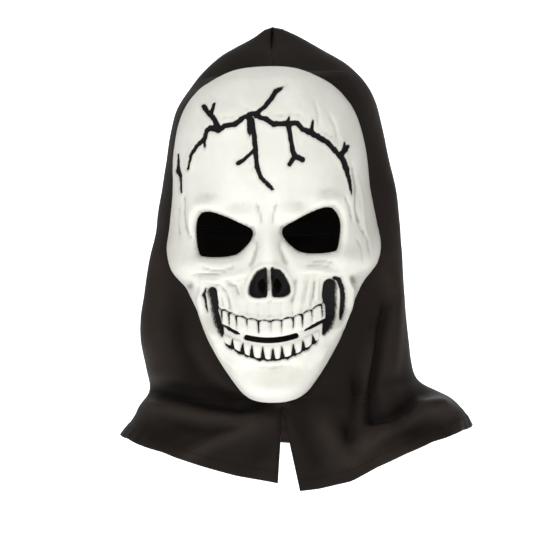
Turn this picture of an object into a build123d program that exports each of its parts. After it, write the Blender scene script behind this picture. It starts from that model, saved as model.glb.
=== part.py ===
from build123d import *
import math
import os

# A skull face mask with a cloth hood, as it hangs when worn.
# Millimetres. The mask faces -Y, +Z is up, and the origin is the middle of the wearer's head
# at eye height. The shell is a thin moulded sheet, the hood two sewn panels glued inside its rim.

# ---- driving dimensions ----
WALL = 2.0                # moulded shell
CLOTH = 1.2               # hood fabric
GAP = 0.3                 # clearance between neighbouring pieces
RIM_CLEARANCE = 1.9       # cloth to the inside of the shell at the rim
GLUE_OVERLAP = 2.0        # how far the cloth's front edge reaches forward of the rim, inside the shell
SEAM_X = 5.0              # plane of the crown and back seam
SEAM_DEPTH = 8.0          # how far the two layers of the seam allowance stand inside
SEAM_THICK = 1.6
STRAP_WIDTH = 12.0
STRAP_THICK = 1.4
STRAP_PIVOT_Y = -38.0
STRAP_PIVOT_Z = 6.0
STRAP_END_X = 70.0        # outer face of the strap's straight ends
STRAP_BACK_Y = 86.0
STUD_R = 1.5
STUD_BASE_R = 5.0
STUD_ROOT_X = 81.5        # the base runs out to the inner face of the shell
STUD_CAP_R = 4.0
STUD_CAP_THICK = 1.5
RUNNING_CLEARANCE = 0.05  # radial, stud in strap
LABEL_SIZE = (0.5, 24.0, 34.0)

# ---- the shell: stations from the chin rim (0) to the forehead rim (1) ----
# share, profile y, profile z, rim half width, rim y, rim z
SHELL_STATIONS = [
    (0.00, -74.0, -133.5, 14.0, -71.0, -131.5),
    (0.06, -93.0, -134.5, 25.0, -66.0, -126.0),
    (0.13, -107.0, -127.0, 34.5, -59.0, -115.0),
    (0.22, -109.5, -110.0, 46.5, -51.0, -97.0),
    (0.32, -114.0, -88.0, 57.0, -43.0, -77.0),
    (0.42, -112.0, -66.0, 64.0, -35.0, -58.0),
    (0.50, -110.0, -46.0, 73.0, -27.0, -41.0),
    (0.56, -109.0, -30.0, 84.5, -22.0, -26.0),
    (0.62, -107.0, -10.0, 88.0, -21.0, -10.0),
    (0.68, -106.0, 10.0, 85.0, -22.0, 9.0),
    (0.76, -109.0, 40.0, 81.0, -26.0, 36.0),
    (0.84, -106.0, 72.0, 78.5, -33.0, 68.0),
    (0.91, -97.0, 101.5, 71.5, -43.0, 98.0),
    (0.96, -82.0, 123.0, 58.5, -52.5, 117.0),
    (1.00, -67.0, 135.5, 40.0, -57.0, 126.5),
]
ARC_WIDTH_POWER = 2.3     # how square the shell's cross-sections are
ARC_DEPTH_POWER = 1.9
ARC_STEPS = 9             # points from the middle of a section to its rim
SHELL_SECTIONS = 22

# ---- soft bone forms on the shell: x, z, spread in x, spread in z, height outward ----
BONE_FORMS = [
    (0.0, -12.0, 7.0, 16.0, 5.0),        # nasal bridge
    (0.0, -80.0, 30.0, 20.0, 3.0),       # muzzle
    (0.0, -124.0, 18.0, 8.0, 3.0),       # chin
    (0.0, -106.0, 22.0, 5.0, -2.5),      # crease above the chin
]
PAIRED_FORMS = [
    (35.0, 0.0, 20.0, 14.0, -8.0),       # eye sockets
    (47.0, 24.0, 14.0, 6.0, 3.5),        # outer brow
    (18.0, 14.0, 10.0, 6.0, 4.0),        # frown
    (63.0, -24.0, 14.0, 9.0, 6.0),       # cheekbones
    (48.0, -56.0, 8.0, 14.0, -7.0),      # hollows under the cheekbones
    (73.0, 45.0, 7.0, 22.0, -3.0),       # temples
]

# ---- openings in the shell, seen from the front ----
EYE_OPENING = [
    (58.3, 6.0), (53.8, 16.8), (46.0, 19.0), (37.0, 16.4), (22.0, 9.5),
    (12.3, 3.5), (12.4, -3.0), (17.5, -10.0), (28.0, -16.6), (49.0, -16.8), (55.8, -12.0),
]
NOSTRIL_CENTRE = (6.6, -41.5)
NOSTRIL_SIZE = (7.0, 12.0)
MOUTH_Z, MOUTH_LENGTH, MOUTH_HEIGHT, MOUTH_SAG = -85.0, 43.0, 4.6, 3.0

# ---- the hood: height, half width right and left, y where widest, back y ----
HOOD_STATIONS = [
    (-205.0, 140.0, 163.0, 10.0, 112.0),
    (-175.0, 139.0, 161.0, 10.0, 110.0),
    (-163.0, 135.5, 157.0, 10.0, 109.0),
    (-152.0, 127.5, 150.5, 10.0, 107.0),
    (-142.0, 119.5, 142.0, 10.0, 104.0),
    (-133.0, 114.0, 128.0, 10.0, 99.0),
    (-124.0, 111.5, 114.0, 10.0, 96.0),
    (-110.0, 111.0, 109.5, 10.0, 94.0),
    (-82.0, 114.5, 107.5, 10.0, 93.0),
    (-50.0, 109.5, 104.5, 10.0, 97.0),
    (-10.0, 101.5, 104.0, 10.0, 104.0),
    (30.0, 95.0, 103.0, 10.0, 108.0),
    (60.0, 89.5, 97.5, 10.0, 104.0),
    (85.0, 84.5, 92.5, 9.0, 94.0),
    (107.0, 77.5, 88.0, 5.0, 78.0),
    (124.0, 66.0, 80.0, 0.0, 60.0),
    (137.5, 54.5, 67.0, -5.0, 40.0),
    (148.5, 39.5, 49.5, -9.0, 21.0),
    (156.5, 24.0, 37.0, -11.0, 8.0),
    (163.0, 11.0, 26.0, -12.0, 0.0),
    (168.0, 3.5, 16.0, -12.5, -5.0),
    (170.5, -1.0, 10.0, -13.0, -8.5),
]
# front of the hood below and above the shell, height and y
HOOD_FRONT = [
    (-205.0, -94.0), (-175.0, -87.0), (-155.0, -80.0), (-142.0, -73.0), (-130.0, -65.0),
    (118.0, -66.0), (127.0, -58.0), (136.0, -50.0), (148.0, -40.0),
    (158.0, -30.0), (165.0, -22.5), (168.5, -19.0), (170.5, -17.0),
]
PANEL_POINTS = 12
HOOD_LEVELS = [
    -205, -192.5, -180, -167, -154, -142, -130, -115, -98, -78, -55, -30, -5,
    20, 45, 70, 92, 110, 125, 137, 148, 157, 164, 168.5, 170.5,
]
# hem seen from the side, y and z, from the front corners over the shoulder to the back
HEM_LINE = [
    (-100.0, -203.0), (-80.0, -192.0), (-45.0, -168.0), (0.0, -157.0), (60.0, -168.0), (125.0, -180.0),
]
SLIT_TOP = (5.0, -141.0)
SLIT_FEET = (1.0, 18.0)
# corner of each front edge that folds back: outer end of the fold on the hem
FOLD_TOP_Z = -150.0
FOLD_GAP = 1.0
LEFT_FOLD_X = -62.0
RIGHT_FOLD_X = 82.0
FOLD_FOOT_Z = -190.0


def between(stations, at, column):
    """Smooth value of a column at one point, through stations sorted by their first number."""
    if at <= stations[0][0]:
        return stations[0][column]
    if at >= stations[-1][0]:
        return stations[-1][column]
    i = max(k for k in range(len(stations) - 1) if stations[k][0] <= at)

    def slope(k):
        low, high = stations[max(k - 1, 0)], stations[min(k + 1, len(stations) - 1)]
        return (high[column] - low[column]) / (high[0] - low[0])

    low, high = stations[i], stations[i + 1]
    step = high[0] - low[0]
    t = (at - low[0]) / step
    return (
        low[column] * (1 + 2 * t) * (1 - t) ** 2
        + high[column] * t * t * (3 - 2 * t)
        + step * slope(i) * t * (1 - t) ** 2
        + step * slope(i + 1) * t * t * (t - 1)
    )


def relief(x, z):
    """How far the bone forms stand out of the plain shell at one place, seen from the front."""
    total = 0.0
    for x0, z0, wide, tall, height in BONE_FORMS:
        total += height * math.exp(-((x - x0) / wide) ** 2 - ((z - z0) / tall) ** 2)
    for x0, z0, wide, tall, height in PAIRED_FORMS:
        total += height * math.exp(-((abs(x) - x0) / wide) ** 2 - ((z - z0) / tall) ** 2)
    return total


def shell_section(share):
    """One crosswise slice of the shell, a thin C from rim to rim, in the plane it lies in."""
    profile_y, profile_z, half_width, rim_y, rim_z = (
        between(SHELL_STATIONS, share, column) for column in range(1, 6)
    )
    depth = math.hypot(profile_y - rim_y, profile_z - rim_z)
    lean_y, lean_z = (profile_y - rim_y) / depth, (profile_z - rim_z) / depth

    def arc(inset):
        points = []
        for k in range(-ARC_STEPS, ARC_STEPS + 1):
            turn = k / ARC_STEPS * math.pi / 2
            wide = math.copysign(abs(math.sin(turn)) ** (2 / ARC_WIDTH_POWER), turn)
            deep = math.cos(turn) ** (2 / ARC_DEPTH_POWER)
            x = (half_width - inset) * wide
            z = rim_z + lean_z * depth * deep
            fade = min(1.0, deep * 2.0) * min(1.0, share * 8, (1 - share) * 8)
            out = (depth - inset) * deep + relief(x, z) * fade
            points.append((x, rim_y + lean_y * out, rim_z + lean_z * out))
        return Spline(*points)

    outer, inner = arc(0.0), arc(WALL)
    return make_face([outer, Line(outer @ 1, inner @ 1), inner, Line(inner @ 0, outer @ 0)])


def shell_rim(z):
    """Half width and y of the shell's rim at one height."""
    by_height = [(s[5], s[3], s[4]) for s in SHELL_STATIONS]
    return between(by_height, z, 1), between(by_height, z, 2)


def shell_solid():
    return loft([shell_section(k / SHELL_SECTIONS) for k in range(SHELL_SECTIONS + 1)])


def prism(points, y_from=-160.0, length=110.0):
    """A solid that runs along +Y behind a closed smooth outline given by x and z."""
    outline = Spline(*[(x, y_from, z) for x, z in points], periodic=True)
    return extrude(make_face(outline), amount=length, dir=(0, 1, 0))


def eye_cut(side):
    return prism([(side * x, z) for x, z in EYE_OPENING])


def nostril_cut(side):
    x0, z0 = NOSTRIL_CENTRE
    wide, tall = NOSTRIL_SIZE
    turns = [k * math.pi / 4 for k in range(8)]
    return prism([(side * (x0 + wide / 2 * math.cos(t)), z0 + tall / 2 * math.sin(t)) for t in turns])


def mouth_cut():
    """A thin upturned slot with round ends."""
    half = MOUTH_LENGTH / 2 - MOUTH_HEIGHT / 2
    r = MOUTH_HEIGHT / 2
    y = -160.0
    low, high = MOUTH_Z - r, MOUTH_Z + r
    lower = ThreePointArc((-half, y, low + MOUTH_SAG), (0, y, low), (half, y, low + MOUTH_SAG))
    upper = ThreePointArc((half, y, high + MOUTH_SAG), (0, y, high), (-half, y, high + MOUTH_SAG))
    right = ThreePointArc(lower @ 1, (half + r, y, MOUTH_Z + MOUTH_SAG), upper @ 0)
    left = ThreePointArc(upper @ 1, (-half - r, y, MOUTH_Z + MOUTH_SAG), lower @ 0)
    return extrude(make_face([lower, right, upper, left]), amount=110, dir=(0, 1, 0))


def panel_front(z, side, half_width, centre_y):
    """Front end of a panel's slice, set so that beside the face the cloth passes inside the rim."""
    heights = [s[5] for s in SHELL_STATIONS]
    if heights[1] <= z <= heights[-2]:
        rim_width, rim_y = shell_rim(z)
        share = (rim_width - WALL - RIM_CLEARANCE - side * SEAM_X) / half_width
        return centre_y - (centre_y - rim_y) / math.sqrt(1 - share * share)
    return between(HOOD_FRONT, z, 1)


def sloped(thickness, z):
    """Thickness measured level through the cloth where the back of the hood leans."""
    slope = (between(HOOD_STATIONS, z + 1, 4) - between(HOOD_STATIONS, z - 1, 4)) / 2
    return thickness * math.hypot(1, slope)


def panel_section(z, side):
    """One level slice of a hood panel: a thin C from the front, round the side, to the back seam."""
    half_width = between(HOOD_STATIONS, z, 2 if side > 0 else 1) - side * SEAM_X
    centre_y = between(HOOD_STATIONS, z, 3)
    front = centre_y - panel_front(z, side, half_width, centre_y)
    back = between(HOOD_STATIONS, z, 4) - centre_y
    thick = min(sloped(CLOTH, z), half_width * 0.7, front * 0.7, back * 0.7)

    def arc(inset):
        points = []
        for k in range(PANEL_POINTS + 1):
            turn = math.pi * (k / PANEL_POINTS - 0.5)
            deep = (back if turn > 0 else front) - inset
            x = SEAM_X + side * (half_width - inset) * math.cos(turn)
            points.append((x, centre_y + deep * math.sin(turn), z))
        return Spline(*points, tangents=[(side, 0, 0), (-side, 0, 0)])

    outer, inner = arc(0.0), arc(thick)
    return make_face([outer, Line(outer @ 1, inner @ 1), inner, Line(inner @ 0, outer @ 0)])


def hood_half(side):
    """A panel before its edges are cut: half a bell."""
    return loft([panel_section(z, side) for z in HOOD_LEVELS])


def side_prism(points, x_from=-250.0, length=500.0):
    """A solid along X whose outline in Y and Z is closed by straight lines."""
    outline = Polyline(*[(x_from, y, z) for y, z in points], close=True)
    return extrude(make_face(outline), amount=length, dir=(1, 0, 0))


def face_opening():
    """All that lies in front of the hood's front edge, from under the chin to the forehead."""
    heights = [s[5] for s in SHELL_STATIONS]
    edge = [(shell_rim(z)[1] - GLUE_OVERLAP, z) for z in heights]
    edge[0] = (edge[0][0], heights[0] + 6.0)
    return side_prism([(-250, edge[0][1]), *edge, (-250, edge[-1][1])])


def below_hem():
    line = Spline(*[(-250, y, z) for y, z in HEM_LINE])
    corners = [(-250, 200, -180), (-250, 200, -300), (-250, -200, -300), (-250, -200, -203)]
    foot = Polyline(line @ 1, *corners, line @ 0)
    return extrude(make_face([line, foot]), amount=500, dir=(1, 0, 0))


def slit():
    x, z = SLIT_TOP
    drop = 70.0
    spread = drop / (z + 203.0)
    left, right = x + (SLIT_FEET[0] - x) * spread, x + (SLIT_FEET[1] - x) * spread
    outline = Polyline((x, -160, z), (right, -160, z - drop), (left, -160, z - drop), close=True)
    return extrude(make_face(outline), amount=160, dir=(0, 1, 0))


def fold_corner(fold_x, margin):
    """The front corner of the hood below its fold, grown or shrunk by a margin."""
    side = 1 if fold_x > 0 else -1
    x, _ = SLIT_TOP
    top = Vector(x - side * 20, -160, FOLD_TOP_Z - margin)
    foot = Vector(fold_x, -160, FOLD_FOOT_Z - margin)
    run = (foot - top) * 1.6
    outline = Polyline(top, top + run, top + run + Vector(0, 0, -60), top + Vector(0, 0, -110), close=True)
    return extrude(make_face(outline), amount=120, dir=(0, 1, 0))


def build_hood():
    """The two panels, each cut to its edges and parted from the front corner that folds back."""
    pieces = {}
    waste = face_opening() + below_hem() + slit()
    for name, side, fold_x in (("left", 1, RIGHT_FOLD_X), ("right", -1, LEFT_FOLD_X)):
        half = hood_half(side) - waste
        pieces[f"hood_{name}_panel"] = half - fold_corner(fold_x, 0.0)
        pieces[f"hood_{name}_front_corner"] = half & fold_corner(fold_x, FOLD_GAP)
    return pieces


def seam_allowance():
    """The two cloth layers turned in along the crown and back seam, from brow to nape."""
    levels = [z for z in HOOD_LEVELS if -170 <= z <= 164]
    front, back = [], []
    for z in levels:
        inset = sloped(CLOTH + 2 * GAP, z)
        back.append((between(HOOD_STATIONS, z, 4) - inset, z))
        if z >= 118:
            front.append((between(HOOD_FRONT, z, 1) + inset, z))
    crown = [(-13.0, 170.5 - CLOTH - 2.0)]
    line = back + crown + front[::-1]
    outer = [Vector(SEAM_X - SEAM_THICK / 2, y, z) for y, z in line]
    inner = []
    for k, here in enumerate(outer):
        run = (outer[min(k + 1, len(outer) - 1)] - outer[max(k - 1, 0)]).normalized()
        inner.append(here + Vector(0, -run.Z, run.Y) * SEAM_DEPTH)
    top, low = Spline(*outer), Spline(*inner)
    face = make_face([top, Line(top @ 1, low @ 1), low, Line(low @ 0, top @ 0)])
    return extrude(face, amount=SEAM_THICK, dir=(1, 0, 0))


def strap():
    """A flat elastic band round the back of the head, with a straight holed end at each stud."""
    def path(inset):
        x = STRAP_END_X - inset
        points = [(x, STRAP_PIVOT_Y + 14)]
        for k in range(1, 8):
            turn = k / 8 * math.pi
            deep = STRAP_BACK_Y - inset - STRAP_PIVOT_Y - 14
            points.append((x * math.cos(turn), STRAP_PIVOT_Y + 14 + deep * math.sin(turn)))
        points.append((-x, STRAP_PIVOT_Y + 14))
        z = STRAP_PIVOT_Z - STRAP_WIDTH / 2
        bow = Spline(*[(px, py, z) for px, py in points], tangents=[(0, 1, 0), (0, -1, 0)])
        tip = STRAP_PIVOT_Y - STRAP_WIDTH / 2
        return [Line((x, tip, z), bow @ 0), bow, Line(bow @ 1, (-x, tip, z))]

    outer, inner = path(0.0), path(STRAP_THICK)
    tips = [Line(outer[0] @ 0, inner[0] @ 0), Line(outer[2] @ 1, inner[2] @ 1)]
    band = extrude(make_face([*outer, *inner, *tips]), amount=STRAP_WIDTH, dir=(0, 0, 1))
    hole = Cylinder(STUD_R + RUNNING_CLEARANCE, 200)
    return band - Pos(0, STRAP_PIVOT_Y, STRAP_PIVOT_Z) * Rot(0, 90, 0) * hole


def rod(side, radius, x_from, x_to):
    """A cylinder along X on the strap's pivot line, on one side of the face."""
    length = x_to - x_from
    middle = side * (x_from + x_to) / 2
    return Pos(middle, STRAP_PIVOT_Y, STRAP_PIVOT_Z) * Rot(0, 90, 0) * Cylinder(radius, length)


def stud(side, shell):
    """A moulded stud bonded to the inside of the shell: a base and the shank the strap turns on."""
    cap_end = STRAP_END_X - STRAP_THICK - GAP - STUD_CAP_THICK
    base = rod(side, STUD_BASE_R, STRAP_END_X + GAP, STUD_ROOT_X)
    return base + rod(side, STUD_R, cap_end, STRAP_END_X + 2 * GAP) - shell


def stud_cap(side):
    face = STRAP_END_X - STRAP_THICK - GAP
    disc = rod(side, STUD_CAP_R, face - STUD_CAP_THICK, face)
    return disc - rod(side, STUD_R, face - STUD_CAP_THICK, face)


def care_label():
    """A blank label sewn in with the back seam at the nape."""
    thick, wide, tall = LABEL_SIZE
    x = SEAM_X + SEAM_THICK / 2 + 0.05 + thick / 2
    return Pos(x, 97.0 - wide / 2, -150.0) * Box(thick, wide, tall)


def chin_tack():
    """A bar of close stitches that ends the seam at the top of the slit."""
    x, z = SLIT_TOP
    y = between(HOOD_FRONT, z + 3, 1) - 1.7
    return Pos(x, y, z + 3) * Box(12.0, 0.9, 2.4)


def write(parts):
    os.makedirs("parts", exist_ok=True)
    for name, shape in parts.items():
        export_step(shape, f"parts/{name}.step")


def main():
    shell = shell_solid()
    for side in (-1, 1):
        shell = shell - eye_cut(side) - nostril_cut(side)
    shell = shell - mouth_cut()
    parts = {"skull_shell": shell}
    parts.update(build_hood())
    parts["crown_seam_allowance"] = seam_allowance()
    parts["chin_tack"] = chin_tack()
    parts["care_label"] = care_label()
    parts["elastic_strap"] = strap()
    for name, side in (("left", 1), ("right", -1)):
        parts[f"strap_stud_{name}"] = stud(side, shell)
        parts[f"stud_cap_{name}"] = stud_cap(side)
    write(parts)


main()
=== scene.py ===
import bpy
import math
import numpy as np
from mathutils import Matrix, Vector, noise


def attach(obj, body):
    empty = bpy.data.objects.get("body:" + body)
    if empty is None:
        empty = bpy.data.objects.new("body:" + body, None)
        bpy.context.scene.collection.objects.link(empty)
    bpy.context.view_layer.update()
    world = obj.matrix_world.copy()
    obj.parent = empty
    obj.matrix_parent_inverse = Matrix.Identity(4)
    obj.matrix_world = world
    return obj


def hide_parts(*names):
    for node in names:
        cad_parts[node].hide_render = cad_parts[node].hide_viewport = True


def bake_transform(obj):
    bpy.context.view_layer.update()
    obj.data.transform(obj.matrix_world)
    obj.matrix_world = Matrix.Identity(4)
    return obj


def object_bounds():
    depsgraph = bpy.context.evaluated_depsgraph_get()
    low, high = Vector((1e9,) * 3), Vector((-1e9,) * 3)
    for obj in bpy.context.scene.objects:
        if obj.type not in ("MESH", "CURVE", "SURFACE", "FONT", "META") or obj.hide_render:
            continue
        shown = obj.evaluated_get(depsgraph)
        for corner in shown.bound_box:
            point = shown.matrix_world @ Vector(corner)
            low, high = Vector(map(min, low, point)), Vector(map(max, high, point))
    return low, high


# A skull face mask with a cloth hood, as it hangs when worn.
# Shapes are worked out in millimetres and scaled to metres when each mesh is made.
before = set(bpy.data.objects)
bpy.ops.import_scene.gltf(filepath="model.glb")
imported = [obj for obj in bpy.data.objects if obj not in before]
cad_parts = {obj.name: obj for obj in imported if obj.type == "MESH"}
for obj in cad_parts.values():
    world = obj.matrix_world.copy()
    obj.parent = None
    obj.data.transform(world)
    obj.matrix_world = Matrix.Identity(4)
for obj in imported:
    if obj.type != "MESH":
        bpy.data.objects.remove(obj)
cad_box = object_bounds()

MM = 0.001
# in mm: the moulding's wall, the cloth, where the hood's centre seam lies, how far each half passes it
WALL = 2.2
CLOTH = 0.9
SEAM_X = 5
SEAM_LAP = 0.12
# the camera: its distance from the bridge of the nose in mm, and degrees to the wearer's left
BRIDGE_Y = -106
CAMERA_DISTANCE = 2106
CAMERA_TURN = 3


# ---- main stations of shell and hood
# These are the CAD model's, but for a shell rim up to 3 mm narrower at its top corners.
# share of the way from chin to forehead, profile y, profile z, rim half width, rim y, rim z
SHELL_STATIONS = [
    (0.00, -74, -133.5, 14, -71, -131.5),
    (0.06, -93, -134.5, 25, -66, -126),
    (0.13, -107, -127, 34.5, -59, -115),
    (0.22, -109.5, -110, 46.5, -51, -97),
    (0.32, -114, -88, 57, -43, -77),
    (0.42, -112, -66, 64, -35, -58),
    (0.50, -110, -46, 73, -27, -41),
    (0.56, -109, -30, 84.5, -22, -26),
    (0.62, -107, -10, 88, -21, -10),
    (0.68, -106, 10, 85, -22, 9),
    (0.76, -109, 40, 81, -26, 36),
    (0.84, -106, 72, 78.5, -33, 68),
    (0.91, -97, 101.5, 70.5, -43, 98),
    (0.96, -82, 123, 55.5, -52.5, 117),
    (1.00, -67, 135.5, 37, -57, 126.5),
]
ARC_WIDTH_POWER = 2.3
ARC_DEPTH_POWER = 1.9

# height, half width right and left, y where widest, back y
HOOD_STATIONS = [
    (-205, 140, 163, 10, 112),
    (-175, 139, 161, 10, 110),
    (-163, 135.5, 157, 10, 109),
    (-152, 127.5, 150.5, 10, 107),
    (-142, 119.5, 142, 10, 104),
    (-133, 114, 128, 10, 99),
    (-124, 111.5, 114, 10, 96),
    (-110, 111, 109.5, 10, 94),
    (-82, 114.5, 107.5, 10, 93),
    (-50, 109.5, 104.5, 10, 97),
    (-10, 101.5, 104, 10, 104),
    (30, 95, 103, 10, 108),
    (60, 89.5, 97.5, 10, 104),
    (85, 84.5, 92.5, 9, 94),
    (107, 77.5, 88, 5, 78),
    (124, 66, 80, 0, 60),
    (137.5, 54.5, 67, -5, 40),
    (148.5, 39.5, 49.5, -9, 21),
    (156.5, 24, 37, -11, 8),
    (163, 11, 26, -12, 0),
    (168, 3.5, 16, -12.5, -5),
    (170.5, -1, 10, -13, -8.5),
]
HOOD_FRONT = [
    (-205, -94), (-175, -87), (-155, -80), (-142, -73), (-130, -65),
    (118, -66), (127, -58), (136, -50), (148, -40),
    (158, -30), (165, -22.5), (168.5, -19), (170.5, -17),
]
SLIT_TOP = (5, -141)


# ---- small helpers
def between(table, at):
    """Smooth values of a table's columns at an array of places in its first column."""
    table = np.asarray(table, float)
    x, y = table[:, 0], table[:, 1:]
    slope = np.empty_like(y)
    slope[1:-1] = (y[2:] - y[:-2]) / (x[2:] - x[:-2])[:, None]
    slope[0] = (y[1] - y[0]) / (x[1] - x[0])
    slope[-1] = (y[-1] - y[-2]) / (x[-1] - x[-2])
    at = np.clip(np.asarray(at, float), x[0], x[-1])
    i = np.clip(np.searchsorted(x, at, side="right") - 1, 0, len(x) - 2)
    step = x[i + 1] - x[i]
    t = ((at - x[i]) / step)[..., None]
    step = step[..., None]
    value = (
        y[i] * (1 + 2 * t) * (1 - t) ** 2
        + y[i + 1] * t * t * (3 - 2 * t)
        + step * slope[i] * t * (1 - t) ** 2
        + step * slope[i + 1] * t * t * (t - 1)
    )
    return [value[..., k] for k in range(value.shape[-1])]


def smooth(low, high, value):
    """Smooth step from 0 at low to 1 at high; low may be the greater."""
    t = np.clip((value - low) / (high - low), 0, 1)
    return t * t * (3 - 2 * t)


def run_along(path):
    """Length along a path of points, from its start to each point."""
    return np.concatenate([[0], np.cumsum(np.linalg.norm(np.diff(path, axis=0), axis=1))])


def segment_distance(x, z, x0, z0, dx, dz):
    """Distance to a straight segment, and the share of it at the nearest place."""
    t = np.clip(((x - x0) * dx + (z - z0) * dz) / (dx * dx + dz * dz), 0, 1)
    return np.hypot(x - x0 - t * dx, z - z0 - t * dz), t


def line_distance(x, z, points):
    """Distance to a polyline of (x, z, half width) and that half width at the nearest place."""
    best = np.full(x.shape, 1e9)
    width = np.zeros(x.shape)
    for (x0, z0, w0), (x1, z1, w1) in zip(points[:-1], points[1:]):
        away, t = segment_distance(x, z, x0, z0, x1 - x0, z1 - z0)
        edge = w0 + (w1 - w0) * t
        nearer = away - edge < best - width
        best = np.where(nearer, away, best)
        width = np.where(nearer, edge, width)
    return best, width


def strokes(x, z, lines):
    """Signed distance to the edge of the nearest painted or engraved stroke, negative inside."""
    distances = []
    for line in lines:
        away, width = line_distance(x, z, line)
        distances.append(away - width)
    return np.min(distances, axis=0)


def ridge(x, z, points, width, height):
    """A rounded ridge, or a groove if height is negative, along a polyline that fades at its ends."""
    away, _ = line_distance(x, z, [(px, pz, 0) for px, pz in points])
    first = np.hypot(x - points[0][0], z - points[0][1])
    last = np.hypot(x - points[-1][0], z - points[-1][1])
    fade = 0.35 + 0.65 * smooth(0, 2.5 * width, np.minimum(first, last))
    return height * np.exp(-(away / width) ** 2) * fade


def blob(x, z, x0, z0, wide, tall, height):
    """A rounded rise, or a hollow if height is negative."""
    return height * np.exp(-((x - x0) / wide) ** 2 - ((z - z0) / tall) ** 2)


def outline_distance(x, z, points):
    """Signed distance to a closed smooth outline or its mirror image at -x, negative inside."""
    x = np.abs(x)
    ring = np.asarray(points, float)
    count = len(ring)
    fine = []
    for k in range(count):
        p0, p1, p2, p3 = (ring[(k + j) % count] for j in (-1, 0, 1, 2))
        for t in np.linspace(0, 1, 6, endpoint=False):
            point = 2 * p1 + (p2 - p0) * t
            point += (2 * p0 - 5 * p1 + 4 * p2 - p3) * t * t
            point += (3 * p1 - p0 - 3 * p2 + p3) * t ** 3
            fine.append(0.5 * point)
    best = np.full(x.shape, 1e9)
    inside = np.zeros(x.shape, bool)
    for (x0, z0), (x1, z1) in zip(fine, fine[1:] + fine[:1]):
        dx, dz = x1 - x0, z1 - z0
        best = np.minimum(best, segment_distance(x, z, x0, z0, dx, dz)[0])
        crosses = (z0 > z) != (z1 > z)
        where = x0 + (z - z0) / np.where(z1 == z0, 1e-9, dz) * dx
        inside ^= crosses & (x < where)
    return np.where(inside, -best, best)


def grid_normals(points):
    """Unit normals of a grid of points; they follow the rows cross the columns."""
    along = np.gradient(points, axis=0)
    across = np.gradient(points, axis=1)
    normal = np.cross(across, along)
    length = np.linalg.norm(normal, axis=2, keepdims=True)
    return normal / np.maximum(length, 1e-9)


def grid_normals_like(points, reference):
    """Normals of a grid, turned to the same side as a reference."""
    normal = grid_normals(points)
    side = np.sign(np.einsum("ijk,ijk->ij", normal, reference))
    return normal * np.where(side == 0, 1, side)[:, :, None]


def blurred(field, passes):
    """A grid field averaged with its neighbours a number of times."""
    out = field
    for _ in range(passes):
        for axis in (0, 1):
            at = np.arange(out.shape[axis])
            before = out.take(np.maximum(at - 1, 0), axis)
            after = out.take(np.minimum(at + 1, at[-1]), axis)
            out = (before + 2 * out + after) / 4
    return out


def speckle(points, scale, seed):
    """Smooth noise at every point of a grid, from about -1 to 1."""
    flat = points.reshape(-1, 3) / scale + seed
    values = [noise.noise(Vector(p)) for p in flat.tolist()]
    return np.array(values).reshape(points.shape[:-1])


def placed(name, data):
    """A new object of the scene."""
    obj = bpy.data.objects.new(name, data)
    bpy.context.scene.collection.objects.link(obj)
    return obj


def made(name, verts, faces, scale=MM):
    """An object with smooth faces from points in mm."""
    mesh = bpy.data.meshes.new(name)
    mesh.from_pydata((np.array(verts) * scale).tolist(), [], faces)
    mesh.polygons.foreach_set("use_smooth", [True] * len(mesh.polygons))
    return placed(name, mesh)


def corner_windows(rows, cols):
    """The four parts of a grid that hold one corner of every cell."""
    return [(slice(i, rows - 1 + i), slice(j, cols - 1 + j)) for i in (0, 1) for j in (0, 1)]


def sheet_mesh(name, outer, inner, keep=None, fields=None):
    """A closed thin object from two matching grids of points in mm; keep says which cells exist."""
    rows, cols = outer.shape[:2]
    if keep is None:
        keep = np.ones((rows - 1, cols - 1), bool)
    used = np.zeros((rows, cols), bool)
    for window in corner_windows(rows, cols):
        used[window] |= keep
    total = int(used.sum())
    number = np.full((rows, cols), -1)
    number[used] = np.arange(total)
    a, b = number[:-1, :-1][keep], number[:-1, 1:][keep]
    c, d = number[1:, 1:][keep], number[1:, :-1][keep]
    front = np.stack([a, b, c, d], 1)
    edges = np.concatenate([front[:, [0, 1]], front[:, [1, 2]], front[:, [2, 3]], front[:, [3, 0]]])
    key = np.sort(edges, axis=1)
    _, first, times = np.unique(key[:, 0] * total + key[:, 1], return_index=True, return_counts=True)
    start, end = edges[first[times == 1]].T
    border = np.stack([end, start, start + total, end + total], 1)
    faces = np.concatenate([front, front[:, ::-1] + total, border])
    obj = made(name, np.concatenate([outer[used], inner[used]]), faces.tolist())
    for field, values in (fields or {}).items():
        layer = obj.data.attributes.new(field, "FLOAT", "POINT")
        layer.data.foreach_set("value", np.tile(values[used], 2).astype(np.float32))
    obj.data.update()
    return obj


# ---- materials
NOISE, WAVE = "ShaderNodeTexNoise", "ShaderNodeTexWave"
# metres from crest to trough of a wave texture of scale 1
HALF_WAVE = 0.157


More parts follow.
